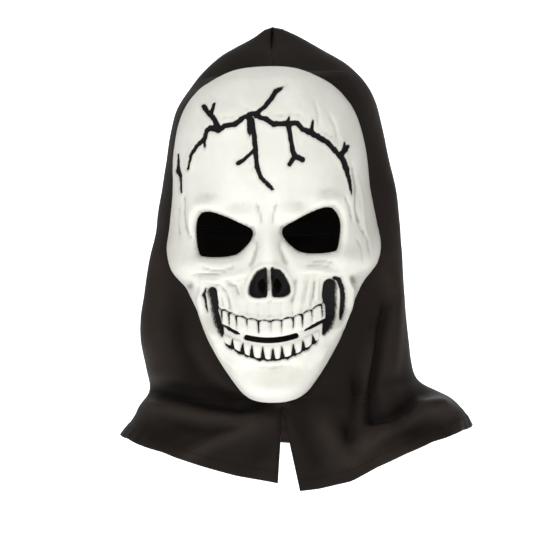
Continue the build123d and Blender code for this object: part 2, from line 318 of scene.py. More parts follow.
class Look:
    """A procedural material under construction."""

    def __init__(self, name):
        self.material = bpy.data.materials.new(name)
        self.material.use_nodes = True
        self.nodes = self.material.node_tree.nodes

    def put(self, socket, value):
        """Link another node's output to a socket, or set a plain value on it."""
        if isinstance(value, bpy.types.NodeSocket):
            self.material.node_tree.links.new(value, socket)
        else:
            socket.default_value = value

    def shader(self, **values):
        """Inputs of the surface shader, with _ for each space in their names."""
        for key, value in values.items():
            self.put(self.nodes["Principled BSDF"].inputs[key.replace("_", " ")], value)

    def field(self, name):
        """A value stored at the points of the mesh."""
        node = self.nodes.new("ShaderNodeAttribute")
        node.attribute_name = name
        return node.outputs["Fac"]

    def maths(self, operation, first, second=0.0, third=0.0, clamp=False):
        node = self.nodes.new("ShaderNodeMath")
        node.operation = operation
        node.use_clamp = clamp
        for socket, value in zip(node.inputs, (first, second, third)):
            self.put(socket, value)
        return node.outputs[0]

    def span(self, value, low, high, to_low=0.0, to_high=1.0):
        """Smooth step of a value from one range to another."""
        node = self.nodes.new("ShaderNodeMapRange")
        node.interpolation_type = "SMOOTHSTEP"
        numbers = {"Value": value, "From Min": low, "From Max": high, "To Min": to_low, "To Max": to_high}
        for key, number in numbers.items():
            self.put(node.inputs[key], number)
        return node.outputs[0]

    def mixed(self, factor, first, second):
        """A colour between two others."""
        node = self.nodes.new("ShaderNodeMix")
        node.data_type = "RGBA"
        for index, value in ((0, factor), (6, first), (7, second)):
            self.put(node.inputs[index], value)
        return node.outputs[2]

    def texture(self, kind, scale, stretch=(1, 1, 1), direction=None, **values):
        """A grey texture fixed to the object."""
        place = self.nodes.new("ShaderNodeTexCoord")
        mapping = self.nodes.new("ShaderNodeMapping")
        self.put(mapping.inputs["Scale"], stretch)
        self.put(mapping.inputs["Vector"], place.outputs["Object"])
        node = self.nodes.new(kind)
        if direction:
            node.bands_direction = direction
        self.put(node.inputs["Vector"], mapping.outputs[0])
        for key, value in dict(values, Scale=scale).items():
            self.put(node.inputs[key], value)
        return node.outputs["Fac"]

    def bump(self, height, distance, strength, below=None):
        """A normal from a height, laid over a coarser or finer one."""
        node = self.nodes.new("ShaderNodeBump")
        self.put(node.inputs["Distance"], distance)
        self.put(node.inputs["Strength"], strength)
        self.put(node.inputs["Height"], height)
        if below is not None:
            self.put(node.inputs["Normal"], below)
        return node.outputs[0]


def shell_material():
    """Satin off-white moulding, warm grey in the hollows that is partly a wash and partly painted shade, and
    brushed black paint in the cracks.
    """
    ivory_dark, ivory_light, wash_and_shade_grey = (0.78, 0.77, 0.70, 1), (0.84, 0.83, 0.77, 1), (0.30, 0.275, 0.245, 1)
    soot_dark, soot_light = (0.008, 0.008, 0.009, 1), (0.022, 0.021, 0.021, 1)
    black_ink = (0.010, 0.010, 0.011, 1)
    look = Look("shell_moulding")
    mottle = look.texture(NOISE, 42, Detail=4)
    grain = look.texture(NOISE, 900, Detail=3)
    brush = look.texture(NOISE, 520, (1, 1, 0.45), Detail=3, Roughness=0.7)
    base = look.mixed(look.span(mottle, 0.35, 0.7), ivory_dark, ivory_light)
    uneven = look.maths("MULTIPLY_ADD", mottle, 0.5, 0.75)
    # warm grey in the hollows: partly a wash, partly painted shade where the surface lies deeper
    base = look.mixed(look.maths("MULTIPLY", look.field("wash_and_shade"), uneven, clamp=True), base, wash_and_shade_grey)
    ragged = look.maths("MULTIPLY_ADD", brush, 1.3, -0.65)
    edge = look.maths("ADD", look.field("hollow"), look.maths("MULTIPLY", ragged, 1.6))
    soot = look.span(edge, 0.9, -0.5)
    base = look.mixed(soot, base, look.mixed(brush, soot_dark, soot_light))
    ink = look.span(look.maths("ADD", look.field("paint"), ragged), 0.32, -0.18)
    black = look.maths("MAXIMUM", ink, soot)
    rough = look.maths("MULTIPLY_ADD", mottle, 0.12, 0.36)
    fine = look.bump(grain, 0.00006, 0.5)
    look.shader(
        Base_Color=look.mixed(ink, base, black_ink),
        Roughness=look.maths("MULTIPLY_ADD", black, 0.25, rough),
        Specular_IOR_Level=look.maths("MULTIPLY_ADD", black, -0.34, 0.42),
        Subsurface_Weight=0.06,
        Subsurface_Radius=(0.004, 0.003, 0.002),
        Subsurface_Scale=0.5,
        Normal=look.bump(mottle, 0.0004, 0.35, fine),
    )
    return look.material


def cloth_material(name, light, dark, thread=0.00045, fold_highlight_and_shade=False):
    """Thin close-knit cloth: ribs across one another, a soft sheen, slow changes of colour, and on request a
    painted highlight on the ridges of folds with painted shade in their hollows.
    """
    look = Look(name)
    shade = look.texture(NOISE, 16, Detail=3)
    fuzz = look.texture(NOISE, 1500, Detail=2)
    ribs = HALF_WAVE / thread
    weave = look.maths("MULTIPLY", *(
        look.texture(WAVE, ribs, direction=way, Distortion=1.2, Detail=1) for way in ("Z", "X")
    ))
    nap_and_fold_shade = look.maths("MULTIPLY_ADD", fuzz, 0.3, look.maths("MULTIPLY", shade, 0.35))
    # painted highlight on the ridges of the folds and painted shade in their hollows
    if fold_highlight_and_shade:
        nap_and_fold_shade = look.maths("MULTIPLY_ADD", look.field("fold_highlight_and_shade"), 0.85, nap_and_fold_shade)
        nap_and_fold_shade = look.maths("SUBTRACT", nap_and_fold_shade, 0.25, clamp=True)
    fine = look.bump(fuzz, 0.00012, 0.6)
    look.shader(
        Base_Color=look.mixed(nap_and_fold_shade, dark, light),
        Roughness=0.52,
        Sheen_Weight=0.02,
        Sheen_Roughness=0.42,
        Sheen_Tint=(0.9, 0.8, 0.74, 1),
        Specular_IOR_Level=0.06,
        Normal=look.bump(weave, 0.00018, 0.55, fine),
    )
    return look.material


def plastic_material(name, colour, rough):
    """Moulded plastic with a faint mottle."""
    look = Look(name)
    mottle = look.texture(NOISE, 260, Detail=3)
    lighter = tuple(min(1, c * 1.25 + 0.01) for c in colour[:3]) + (1,)
    look.shader(
        Base_Color=look.mixed(mottle, colour, lighter),
        Roughness=look.maths("MULTIPLY_ADD", mottle, 0.2, rough),
        Normal=look.bump(mottle, 0.00008, 0.5),
    )
    return look.material


def dress(obj, material):
    """Give a piece its only material."""
    obj.data.materials.clear()
    obj.data.materials.append(material)


# ---- the shell
EYE_OPENING = [
    (58.3, 6), (53.8, 16.8), (46, 19), (37, 16.4), (22, 9.5),
    (12.3, 3.5), (12.4, -3), (17.5, -10), (28, -16.6), (49, -16.8), (55.8, -12),
]
NOSE_POCKET = [
    (1.6, -28.6), (5, -28.2), (9.4, -30.2), (13.2, -35.4), (16.4, -43.4), (15.6, -48.6), (11.5, -50.8),
    (6, -51), (1.9, -48.5),
]
NOSTRIL = [(3.2, -41.5), (6.6, -35.6), (10.1, -41.5), (6.6, -47.4)]
# in mm: how far the edges of the eye openings roll in
EYE_ROLL = 3.6
# the mouth slit: height, half length, half width, and how much higher its ends lie
MOUTH_Z, MOUTH_HALF, MOUTH_R, MOUTH_SAG = -85, 20, 2.4, 3
# x of the lines between the upper and the lower teeth
UPPER_GAPS = [-44.3, -37.5, -32, -26.5, -18.5, -9.5, -0.5, 8.5, 17.5, 24.5, 32, 40, 47.2]
LOWER_GAPS = [-38, -30, -22.3, -15.2, -6.9, 0.9, 8, 16.7, 24.3, 32.2, 38.5]
# in mm: a distance far from any paint
FAR = 9

# painted cracks of the brow: x, z, half width
CRACKS = [
    [(-61, 53, 0.4), (-58.5, 65, 0.7), (-53, 72, 1.2), (-47, 77, 1.3), (-45.6, 83, 1.2), (-42, 85, 1.9),
     (-36, 83, 1.8), (-31, 86, 1.6), (-22.5, 87, 1.6), (-16, 92, 1.5), (-10, 94.5, 1.8), (-4, 96, 1.3),
     (2, 100.6, 1.3), (7, 106.5, 1.5), (11, 112.4, 1.5), (17, 115, 0.5)],
    [(-6.5, 93.6, 1.2), (3, 89.7, 1.7), (7.7, 86, 1.8), (15, 86, 1.6), (27, 86, 1.6), (30.6, 81.4, 1.5),
     (38.8, 77, 1.9), (50.7, 69.7, 1.7), (56.5, 62.3, 1.5), (61, 57.3, 1.8), (64.4, 47.5, 1.6),
     (66.5, 39, 1.1), (67.4, 29, 0.3)],
    [(-36, 85, 1.9), (-39.3, 92.4, 1.6), (-43.9, 97.5, 1.4), (-46.8, 102.4, 1.7)],
    [(-41.6, 95, 1.4), (-38.9, 104, 1)],
    [(-48, 76, 1.3), (-47, 70, 0.3)],
    [(-9, 91, 1.5), (-8, 81.6, 1.6), (-7.3, 72, 1.6), (-7, 62, 1.4), (-6.2, 52.4, 1.5), (-3.5, 44, 1.3),
     (1, 39, 1.4), (5.2, 34.6, 0.9)],
    [(-12, 92, 0.9), (-12, 84, 0.8), (-11.6, 77, 0.3)],
    [(-8.5, 66, 0.7), (-12.5, 62.4, 0.9), (-17.5, 57.7, 1), (-21.3, 56.2, 1.5)],
    [(19.8, 84, 1.5), (21.2, 73, 1.3), (22.7, 63.6, 1.5), (24.3, 60, 1.8)],
    [(24.3, 60, 1.6), (19.2, 53.4, 1.2)],
    [(24.3, 60, 1.6), (29.7, 57.2, 1.9)],
    [(37.8, 79, 1.4), (38.6, 84, 0.9), (39.2, 88.4, 0.3)],
    [(60.5, 60, 1.7), (63.5, 64, 1.9), (66, 66.5, 0.9)],
    [(63, 64, 1), (63.5, 70, 0.3)],
    [(-68.6, 65.6, 0.3), (-69, 58, 0.8), (-69.2, 52.4, 1.6), (-67.4, 48, 0.9), (-67.4, 35.4, 0.3)],
    [(19, 86.5, 1), (20.5, 91.5, 0.3)],
]
# fine lines pressed beside the cracks, only faintly painted
FAINT_CRACKS = [
    [(-20, 97), (-12, 99), (-6, 101)],
    [(3, 95), (12, 92.5), (22, 94), (31, 91)],
    [(36, 83), (46, 78), (55, 74)],
    [(-34, 92), (-27, 92), (-20, 93.5)],
    [(-14, 70), (-12.5, 60), (-10, 48)],
]


# the deep hollows beside the teeth, wider on the wearer's left, and the groove round each
CAVITIES = [
    [(48, -43.2, 5.3), (47, -50.5, 5.5), (47.2, -58, 5.1), (46.8, -66, 4.6), (44.7, -73.8, 3.6),
     (41.9, -80.8, 1.2)],
    [(-45.6, -44.6, 3.7), (-44.3, -51, 3.7), (-42.7, -62.8, 3.5), (-41, -70.7, 3.1), (-39, -79.2, 1.2)],
]
CAVITY_GROOVES = [
    [(51.5, -37, 1.4), (55.2, -38.9, 1.8), (57.4, -45.5, 1.8), (57.6, -52.5, 1.8), (56.2, -62, 1.5),
     (54.2, -69.5, 0.5)],
    [(-50.2, -41.5, 0.4), (-51.6, -46, 0.9), (-50.6, -54, 0.5), (-49.4, -60, 0.2)],
]
# the broad sculpted forms: x, z, width, height, rise
BONE_FORMS = [
    (0, -12, 7, 16, 5),  # nasal bridge
    (0, -80, 34, 22, 3.5),  # muzzle
    (0, -124, 18, 8, 3),  # chin
    (0, -107, 24, 5, -2.5),  # crease above the chin
    (35, 0, 24, 17, -8),  # eye sockets
    (47, 25, 13, 5, 3.5),  # outer brow
    (20, 15, 11, 6, 4.5),  # frown
    (64, -22, 14, 9, 6),  # cheekbones
    (36, -28, 16, 7, 2),  # lower edge of the sockets
    (52, -58, 8, 16, -7),  # hollows under the cheekbones
    (73, 45, 6, 22, -3),  # temples
    (62, 12, 4, 16, 1.6),  # outer edge of the sockets
]


def shell_surface(share, across):
    """Plain form of the shell in mm, on a grid of shares (rows) and places across (columns, -1 to 1)."""
    profile_y, profile_z, half_width, rim_y, rim_z = (c[:, None] for c in between(SHELL_STATIONS, share))
    depth = np.hypot(profile_y - rim_y, profile_z - rim_z)
    lean_y, lean_z = (profile_y - rim_y) / depth, (profile_z - rim_z) / depth
    turn = across[None, :] * math.pi / 2
    wide = np.sign(turn) * np.abs(np.sin(turn)) ** (2 / ARC_WIDTH_POWER)
    deep = np.clip(np.cos(turn), 0, 1) ** (2 / ARC_DEPTH_POWER)
    x = half_width * wide
    z = rim_z + lean_z * depth * deep
    ends = np.minimum(share, 1 - share)[:, None]
    fade = np.minimum(1, deep * 2) * np.minimum(1, ends * 8)
    out = depth * deep + bone_forms(x, z) * fade
    return np.stack([x, rim_y + lean_y * out, rim_z + lean_z * out], axis=2)


def bone_forms(x, z):
    """The broad sculpted forms, the same on both sides, measured outward from the plain shell."""
    a = np.abs(x)
    return sum(blob(a, z, *form) for form in BONE_FORMS)


def mouth_distance(x, z):
    """Signed distance to the mouth slit, negative inside."""
    level = MOUTH_Z + MOUTH_SAG * (x / MOUTH_HALF) ** 2
    beyond = np.maximum(np.abs(x) - MOUTH_HALF, 0)
    return np.hypot(beyond, np.where(beyond > 0, z - MOUTH_Z - MOUTH_SAG, z - level)) - MOUTH_R


def tooth_place(x, gaps):
    """Place across its own tooth, from -1 to 1, and how wide that tooth is."""
    gaps = np.asarray(gaps)
    i = np.clip(np.searchsorted(gaps, x) - 1, 0, len(gaps) - 2)
    middle, half = (gaps[i] + gaps[i + 1]) / 2, (gaps[i + 1] - gaps[i]) / 2
    return (x - middle) / half, half


def teeth(x, z):
    """Height of both rows of teeth, and signed distances of the paint between and around them."""
    a = np.abs(x)
    p, half = tooth_place(x, UPPER_GAPS)
    q, lower_half = tooth_place(x, LOWER_GAPS)
    p, q = np.clip(p, -1, 1), np.clip(q, -1, 1)
    # upper row: pillows between the gum line and the bite line
    gum = -69.8 + 0.0078 * x * x + 1.3 * (1 - p * p) - 0.6
    bite = -81.6 + 0.0068 * x * x - 0.5 * (1 - p ** 4)
    row = smooth(0, 1.6, z - bite) * smooth(0, 1.4, gum - z) * smooth(43.5, 41.5, a)
    height = row * (0.5 + 1.7 * (1 - p ** 4) ** 0.6)
    # root swellings fade upward from the gum
    roots = smooth(24, 2, z - gum) * smooth(-0.5, 1.5, z - gum) * smooth(42, 34, a)
    height += roots * (0.75 * (1 - p * p) - 0.25)
    height += 0.9 * np.exp(-((z - gum - 1.6) / 1.5) ** 2) * smooth(43, 40, a)
    # lower row
    low = -100.2 + 0.0110 * x * x - 1.5 * (1 - q * q) + 1.5
    top = -88.6 + 0.0078 * x * x
    lower = smooth(0, 1.4, z - low) * smooth(0, 1.4, top - z) * smooth(38.5, 36.5, a)
    height += lower * (0.3 + 1.8 * (1 - q ** 4) ** 0.6)
    height += 1.2 * np.exp(-((z - low + 3.4) / 1.7) ** 2) * smooth(39, 34, a)
    # paint: short dark lines between the upper teeth, wedges between the lower teeth, and both gum lines
    uneven = np.sin(x * 0.83 + 0.4) * np.sin(x * 0.31 + 1.3)
    up = (gum - z) / np.maximum(gum - bite, 1)
    reach = 0.62 + 0.25 * uneven
    upper_line = half * (1 - np.abs(p)) - (0.75 + 0.25 * uneven) * (1 - 0.75 * up / reach)
    upper_line = np.where((up > -0.05) & (up < reach) & (a < 41), upper_line, FAR)
    gum_line = np.where(a < 41.5, np.abs(z - gum) - 0.42 - 0.34 * uneven, FAR)
    down = np.clip((top - z) / np.maximum(top - low, 1), 0, 1.3)
    wedge = lower_half * (1 - np.abs(q)) - 2.1 * np.maximum(down - 0.12, 0) ** 0.8
    wedge = np.where((down > 0.12) & (z > low - 1.6) & (a < 37.5), wedge, FAR)
    thick = 1 + 0.45 * uneven + 0.5 * smooth(18, 30, -x)
    low_line = np.where((x > -37) & (x < 36.5), np.abs(z - low + 0.4) - thick, FAR)
    return height, upper_line, gum_line, np.minimum(wedge, low_line)


# short painted grooves along the outer ends of the bite line
BITE_BARS = [
    [(-37, -71.5, 1), (-33, -74.3, 1.7), (-27.5, -77.8, 1.4), (-25.2, -79, 0.5)],
    [(41.5, -70.5, 1.5), (36, -73, 1.6), (31, -75.8, 1.3), (26.8, -78, 0.5)],
]
# ridges and grooves in the bone: points, width, height
FOLDS = [
    # from beside the nose round to the cheek hollow and the teeth, both sides
    ([(-17, -30), (-26, -33), (-40, -33.5), (-52, -34.5), (-58, -38)], 2.6, 1.5),
    ([(-47, -36), (-38, -36.5), (-31.5, -42), (-29, -50), (-27, -58), (-25.5, -64)], 2.2, 2.2),
    ([(-40, -41), (-36.5, -47), (-34.5, -54), (-33.5, -59)], 1.4, 1.3),
    ([(-24, -38), (-22.5, -46), (-20.5, -56)], 2.2, -0.8),
    ([(-35, -39), (-27, -41), (-24, -50)], 1.5, -0.9),
    ([(-55, -24), (-46, -27.5), (-36, -28), (-26, -25)], 1.5, -1.1),
    ([(-62, -31), (-52, -30.5), (-42, -31), (-32, -30)], 1.2, -0.9),
    ([(22, -35), (20, -42), (18.5, -50), (17.5, -58)], 2, -0.9),
    ([(27, -37), (25, -45), (23.5, -54), (23, -60)], 2, 1.4),
    ([(34, -36), (32, -43), (30.5, -51), (29.5, -58)], 1.3, 1.2),
    ([(38.5, -40), (37.5, -46), (36.5, -54)], 1.1, 1.2),
    ([(36, -39), (35, -46), (34, -54)], 0.9, -0.8),
    ([(33, -24), (42, -23), (52, -25)], 1.4, -1.2),
    ([(26, -30), (36, -30.5), (48, -33), (58, -34.5)], 2.2, 1.2),
    ([(29, -27.5), (40, -26.5), (50, -28.5)], 1.2, -0.8),
    # rounded edges of the cheek hollows
    ([(-52, -39), (-55, -50), (-53, -62), (-48, -74), (-43, -84)], 3, 2),
    ([(60, -34), (64, -46), (62, -60), (56, -72), (49, -82)], 3, 2.2),
    ([(-39.5, -42), (-39.3, -50), (-37.5, -60)], 1.5, 1.3),
    ([(-80, -35), (-68, -41), (-57, -38.5)], 4, -2.4),
    ([(82, -34), (70, -40.5), (60, -37)], 4, -2.4),
    # temples and the outer ends of the brows
    ([(-65.5, 34), (-66.5, 20), (-65, 8), (-61, -4)], 1.4, -1.3),
    ([(-70, 26), (-71.5, 12), (-70, 0)], 1.5, -1),
    ([(-62, 22), (-60.5, 12), (-62, 2)], 1.2, 0.8),
    ([(69, 52), (71, 34), (70.5, 18), (73, 4)], 1.5, -1.3),
    ([(73, 40), (75.5, 22), (76, 6), (78, -6)], 1.3, 1),
    ([(62, 28), (66, 18), (67, 8)], 1.2, -1),
    ([(74, 2), (79, -8), (80, -18)], 1.2, -0.9),
    ([(70, -6), (74, -14), (75, -24)], 1.2, -0.7),
    # brow plates beside the cracks
    ([(41, 103), (44, 92), (43, 84)], 1.6, -0.6),
    ([(52, 92), (57, 82), (58, 72)], 1.6, -0.7),
    # jaw
    ([(-46, -86), (-38, -98), (-27, -108)], 2.6, 0.9),
    ([(46, -88), (38, -100), (27, -109)], 2.6, 0.9),
    ([(-20, -105.5), (0, -107.5), (20, -105.5)], 2.4, -0.9),
]
# brow and bridge on the wearer's right; their mirror images are on the wearer's left
MIRRORED_FOLDS = [
    ([(-8, 24), (-5, 14), (-3.5, 6)], 1.6, -0.7),
    ([(-52, 26), (-42, 23), (-28, 17), (-14, 9)], 3.4, 1.5),
    ([(-9, -2), (-10, -12), (-13, -22), (-17, -28)], 2.6, -1.2),
]
for line, width, height in MIRRORED_FOLDS:
    FOLDS += [(line, width, height), ([(-x, z) for x, z in line], width, height)]


def seen_from_front(points):
    """Places on the face, in the plane through the bridge, as the camera sees them."""
    behind = points[:, :, 1] - BRIDGE_Y
    nearness = 1 + behind / CAMERA_DISTANCE
    turn = math.radians(CAMERA_TURN)
    return (points[:, :, 0] * math.cos(turn) + behind * math.sin(turn)) / nearness, points[:, :, 2] / nearness


def shell_grid():
    """The shell's plain form as a grid, its normals, and where its rows and columns lie."""
    rows, cols = 236, 214
    # rows stand closer together over the teeth and the nose
    places = np.linspace(0, 1, 2001)
    weight = 1 + 0.9 * np.exp(-((places - 0.31) / 0.11) ** 2)
    total = np.concatenate([[0], np.cumsum((weight[1:] + weight[:-1]) / 2)])
    share = np.interp(np.linspace(0, total[-1], rows), total, places)
    across = np.linspace(-1, 1, cols)
    base = shell_surface(share, across)
    return base, grid_normals(base), share, across


def build_shell():
    """The moulded face: forms, openings, fine relief and the fields that its material reads."""
    base, normal, share, across = shell_grid()
    front = smooth(-0.05, 0.25, -normal[:, :, 1])
    x, z = seen_from_front(base)
    roll = EYE_ROLL * smooth(7, 0, outline_distance(x, z, EYE_OPENING)) ** 2
    x, z = seen_from_front(base - normal * roll[:, :, None])

    eyes, nostrils, pocket = (outline_distance(x, z, line) for line in (EYE_OPENING, NOSTRIL, NOSE_POCKET))
    mouth, cavity, groove = mouth_distance(x, z), strokes(x, z, CAVITIES), strokes(x, z, CAVITY_GROOVES)
    tooth_height, upper_line, gum_line, lower_line = teeth(x, z)
    bars = strokes(x, z, BITE_BARS)
    cracks = strokes(x, z, CRACKS) - 0.42 + 0.55 * speckle(base, 3.4, 1.7)

    # forms that the whole wall follows
    form = -EYE_ROLL * smooth(7, 0, eyes) ** 2
    form -= 5.5 * smooth(0.6, -3, pocket)
    form += 1.8 * np.exp(-((pocket - 1.6) / 1.6) ** 2)
    form -= 6.5 * smooth(0.8, -3.4, cavity)
    form += 1.35 * sum(ridge(x, z, points, width, height) for points, width, height in FOLDS) * front
    # fine detail on the outer face only
    fine = tooth_height * front * (1 - 0.35 * smooth(1.5, -1, mouth - 3.2))
    fine -= 2.2 * smooth(0.6, -1.2, groove)
    fine -= 1.4 * smooth(0.6, -1.2, bars)
    fine -= 1.45 * smooth(0.5, -1.1, cracks) * front
    fine += 0.45 * np.exp(-((cracks - 1.3) / 0.9) ** 2) * front
    fine -= 1.1 * smooth(0.5, -0.3, upper_line) + 0.9 * smooth(0.6, -0.3, gum_line)
    fine -= 1.3 * smooth(0.5, -0.6, lower_line)
    for line in FAINT_CRACKS:
        fine += ridge(x, z, line, 0.9, -0.5)
    fine += 0.42 * speckle(base, 17, 3.1) * front + 0.14 * speckle(base, 4.5, 9.7)
    ends = np.minimum(share, 1 - share)[:, None]
    fine *= smooth(0, 0.012, ends)

    outer = base + normal * (form + fine)[:, :, None]
    inner = base + normal * (blurred(form, 2) - WALL)[:, :, None]
    # a rolled edge round the whole rim; the shares become millimetres from the rim
    edge = np.minimum(ends * 290, (1 - np.abs(across))[None, :] * 150)
    outer -= normal * (0.8 * smooth(2.2, 0, edge))[:, :, None]
    keep = cut_openings(outer, inner, np.min([eyes, mouth, nostrils], axis=0))

    # how deep each place lies below its surroundings: near, middle and wide
    depth = np.einsum("ijk,ijk->ij", blurred(outer, 3) - outer, grid_normals_like(outer, normal))
    middle_depth, wide_depth = (
        np.einsum("ijk,ijk->ij", blurred(outer, passes) - outer, normal) for passes in (10, 26)
    )
    # grey in the hollows, partly a wash and partly painted shade: darker the deeper a place lies, and beside
    # the paint, the cavities and the nose pockets
    wash_and_shade = 0.30 * smooth(0.05, 0.5, depth) + 0.45 * smooth(0.12, 1.3, middle_depth)
    wash_and_shade += 0.40 * smooth(0.5, 3.2, wide_depth)
    for distance, reach, strength in (
        (upper_line, 1.4, 0.35), (gum_line, 1.8, 0.30), (lower_line, 2, 0.40), (cracks, 2.2, 0.25),
        (cavity, 2.4, 0.40), (pocket, 1.6, 0.35), (groove, 2, 0.4),
    ):
        wash_and_shade += strength * smooth(reach, 0, distance)
    wash_and_shade *= 1 - 0.6 * smooth(2.5, 0.2, eyes)
    # darker temples
    wash_and_shade += 0.34 * smooth(66, 84, np.abs(x)) * smooth(-45, 0, z)
    shell = sheet_mesh("skull_shell_moulded", outer, inner, keep, {
        "paint": np.min([cracks, bars, lower_line, gum_line, upper_line, groove], axis=0),
        "hollow": np.minimum(pocket, cavity),
        "wash_and_shade": np.clip(wash_and_shade, 0, 1),
    })
    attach(shell, "mask")
    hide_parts("skull_shell")
    dress(shell, shell_material())


def cut_openings(outer, inner, hole):
    """Which cells stay, after the edge points of each opening have been slid onto its outline."""
    windows = corner_windows(*hole.shape)
    keep = np.all([hole[window] > -0.45 for window in windows], axis=0)
    edge = np.zeros(hole.shape, bool)
    for window in windows:
        edge[window] |= ~keep
    edge &= np.abs(hole) < 3
    x_down, x_across = np.gradient(outer[:, :, 0])
    z_down, z_across = np.gradient(outer[:, :, 2])
    hole_down, hole_across = np.gradient(hole)
    area = x_down * z_across - x_across * z_down
    area = np.where(np.abs(area) < 1e-6, 1e-6, area)
    slope_x = (hole_down * z_across - hole_across * z_down) / area
    slope_z = (x_down * hole_across - x_across * hole_down) / area
    steep = np.maximum(slope_x ** 2 + slope_z ** 2, 0.3)
    move_x, move_z = -hole * slope_x / steep, -hole * slope_z / steep
    steps = (move_x * z_across - move_z * x_across) / area, (x_down * move_z - z_down * move_x) / area
    # no point slides more than 1.6 cells
    down, over = (np.clip(np.where(edge, step, 0), -1.6, 1.6)[:, :, None] for step in steps)
    for points in (outer, inner):
        points += np.gradient(points, axis=0) * down + np.gradient(points, axis=1) * over
    return keep


# ---- the hood
HOOD_LEVELS = [
    -205, -192.5, -180, -167, -154, -142, -130, -115, -98, -78, -55, -30, -5,
    20, 45, 70, 92, 110, 125, 137, 148, 157, 164, 168.5, 170.5,
]
# in mm: how deep the hem is turned up
HEM_WIDTH = 8
# hem height by the angle from the front (-90) to the back (90)
HEM = {
    1: [(-90, -205.5), (-80, -204), (-70, -199.5), (-62, -190), (-52, -181), (-40, -172.5), (-20, -166),
        (0, -164), (30, -168), (60, -175), (90, -180)],
    -1: [(-90, -199), (-74, -191.5), (-63, -184.5), (-46, -173), (-22, -163.5), (0, -161), (30, -167),
         (60, -174), (90, -180)],
}
SLIT_FOOT_X = {1: 17.7, -1: 0.3}
# folds of the cloth seen from the front: points (x, z), width, height
CLOTH_FOLDS = {
    1: [
        ([(94, -20), (97, -54), (95, -85), (91, -110), (88, -124)], 7.5, 5.5),
        ([(92, -54), (87, -76), (82, -100), (77, -124), (76, -136)], 3.4, -6.5),
        ([(80, -84), (74, -108), (70, -134), (66, -150)], 4.6, 4.4),
        ([(66, -112), (66, -130), (63, -148), (59, -164)], 3.6, -4.6),
        ([(83, -126), (88, -132), (93, -131)], 6, 4.2),
        ([(78, -138), (80, -149), (92, -150), (106, -141), (116, -131)], 6.4, -12),
        ([(60, -176), (72, -166), (84, -157), (100, -148.5), (117, -141), (130, -142), (142, -149)],
         7, 9.5),
        ([(96, -166), (112, -158), (130, -157)], 8, -4.5),
        ([(36, -140), (40, -152), (45, -164), (49, -178)], 7.5, 5),
        ([(18, -140), (24, -156), (31, -174), (35, -190)], 6, -3),
        ([(55, -150), (59, -163), (60, -172)], 4, -4.6),
        ([(70, -186), (92, -176), (116, -168)], 9, 3.5),
    ],
    -1: [
        ([(-104, -130), (-82, -134), (-53, -143), (-26, -147), (-6, -144)], 7, 6.5),
        ([(-4, -134), (-28, -134), (-52, -128), (-80, -121), (-106, -117)], 8.5, -8),
        ([(-12, -151), (-32, -152), (-58, -150), (-84, -144)], 5, -3),
        ([(-5, -149), (-20, -153), (-38, -159), (-60, -168), (-76, -176)], 5.5, 5),
        ([(-2, -158), (-12, -170), (-26, -182)], 8, -3.5),
        ([(-70, -160), (-92, -154), (-112, -146)], 8, -3),
        ([(-88, 10), (-92, -30), (-94, -70), (-88, -104)], 13, 5),
        ([(-78, -50), (-76, -80), (-64, -108), (-46, -126)], 8, -4),
        ([(-60, -84), (-46, -108), (-30, -126)], 5, 2),
    ],
}


def half_hood(side, right, left):
    """Width of one half of the hood, from the centre seam."""
    return (left if side > 0 else right) - side * SEAM_X


def hood_front_table(side):
    """The hood's front y at each level; beside the face the cloth passes inside the shell's rim."""
    stations = np.asarray(SHELL_STATIONS)
    rim = stations[:, [5, 3, 4]]
    table = []
    for z in HOOD_LEVELS:
        right, left, centre, _ = between(HOOD_STATIONS, z)
        half = half_hood(side, right, left)
        if rim[1, 0] <= z <= rim[-2, 0]:
            width, rim_y = between(rim, z)
            share = (width - 3.9 - side * SEAM_X) / half
            table.append((z, centre - (centre - rim_y) / math.sqrt(1 - share * share)))
        else:
            table.append((z, between(HOOD_FRONT, z)[0]))
    return table


def bell(turn, z, side, fronts):
    """Plain form of the hood: turn runs from -pi/2 at the front to pi/2 at the back seam."""
    right, left, centre, back = between(HOOD_STATIONS, z)
    half = half_hood(side, right, left)
    front = centre - between(fronts, z)[0]
    deep = np.where(turn > 0, back - centre, front)
    x = SEAM_X + side * half * np.cos(turn)
    return np.stack([x, centre + deep * np.sin(turn), z + 0 * turn], axis=-1)


def front_line(z, side):
    """Points down the middle of the hood's front at some heights."""
    return bell(np.full(len(z), -math.pi / 2), z, side, hood_front_table(side))


def hood_edge(side):
    """Front edge of one panel, from the crown down the forehead, inside the rim, to the hem."""
    share = np.linspace(0.012, 0.985, 120)
    inside = shell_surface(share, np.array([-0.965, 0.965]))
    rim_down = inside[::-1, 1 if side > 0 else 0]
    arc = np.linspace(0.05, 0.95, 16)
    brow = shell_surface(np.array([0.985]), side * arc)[0]
    chin = shell_surface(np.array([0.014]), side * arc[::-1])[0]
    path = np.concatenate([brow, rim_down, chin])
    # inside the moulding, toward an upright line through the head
    toward = path * np.array([0, 0, 0.92]) - path + np.array([0, -45, 0])
    toward /= np.linalg.norm(toward, axis=1, keepdims=True)
    path = path + toward * (WALL + CLOTH)
    crown = front_line(np.linspace(HOOD_LEVELS[-1], path[0, 2] + 2, 14), side)
    crown[:, 1] += (path[0, 1] + 2 - crown[-1, 1]) * smooth(0, 1, np.linspace(0, 1, 14)) ** 2
    throat = front_line(np.linspace(path[-1, 2] - 1.5, SLIT_TOP[1], 5), side)
    throat[:, 1] += (path[-1, 1] - throat[0, 1]) * smooth(1, 0, np.linspace(0, 1, 5))
    slit = front_line(np.linspace(SLIT_TOP[1], HEM[side][0][1], 20)[1:], side)
    slit[:, 0] = SLIT_TOP[0] + (SLIT_FOOT_X[side] - SLIT_TOP[0]) * np.linspace(0, 1, 20)[1:]
    return np.concatenate([crown, path, throat, slit])


